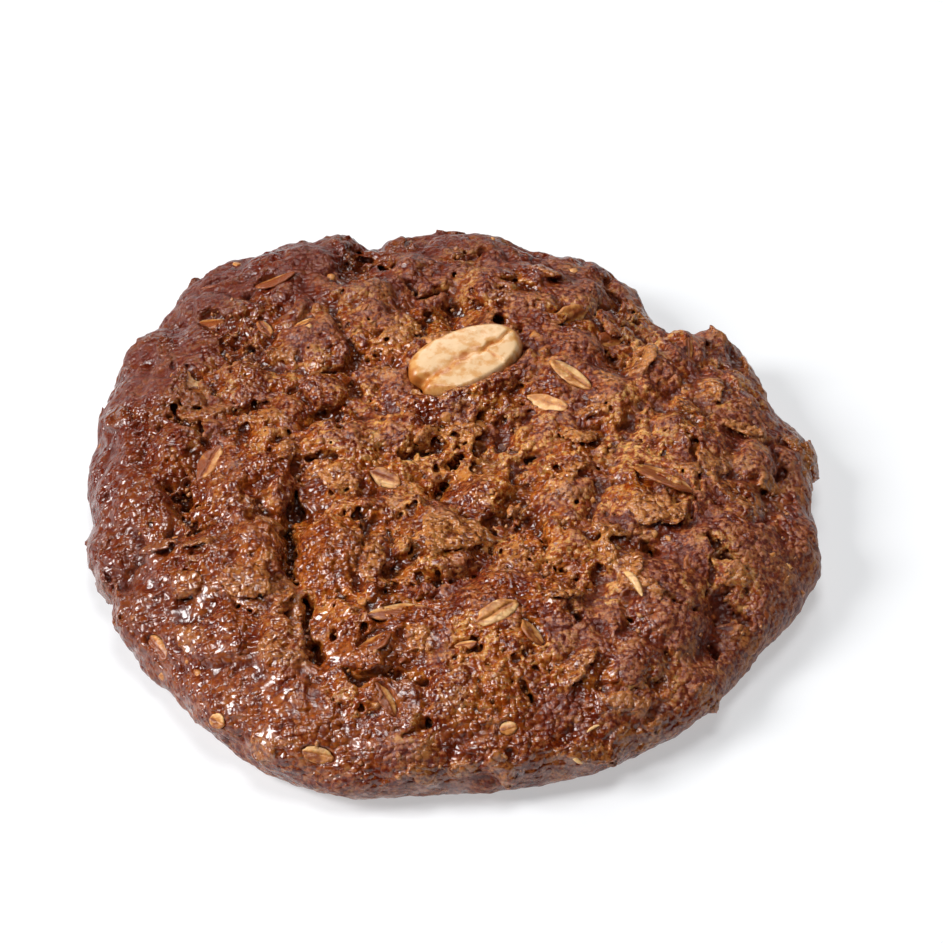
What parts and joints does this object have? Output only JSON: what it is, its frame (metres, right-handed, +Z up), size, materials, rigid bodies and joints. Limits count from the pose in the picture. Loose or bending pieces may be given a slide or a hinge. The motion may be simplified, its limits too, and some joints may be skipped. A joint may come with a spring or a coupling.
{
  "type": "peanut cookie",
  "caption": "Round, hand-shaped oat and peanut cookie with a lumpy, split, glazed crust and a blanched peanut half pressed into the top.",
  "frame": {"origin": "middle of the cookie's box, on the surface that it rests on", "axes": "+Z up through the cookie's thickness, +Y away from the side that faces the viewer, towards the peanut half's side of the cookie, +X to the viewer's right"},
  "size_m": [0.0958, 0.1004, 0.0164],
  "materials": {
    "baked_dough": "crusty browned dough under a thin, patchy glaze",
    "peanut": "smooth roasted nut with toasted edges"
  },
  "bodies": {
    "root": {"cookie_dough": "baked_dough", "peanut_half": "peanut"}
  },
  "joints": []
}
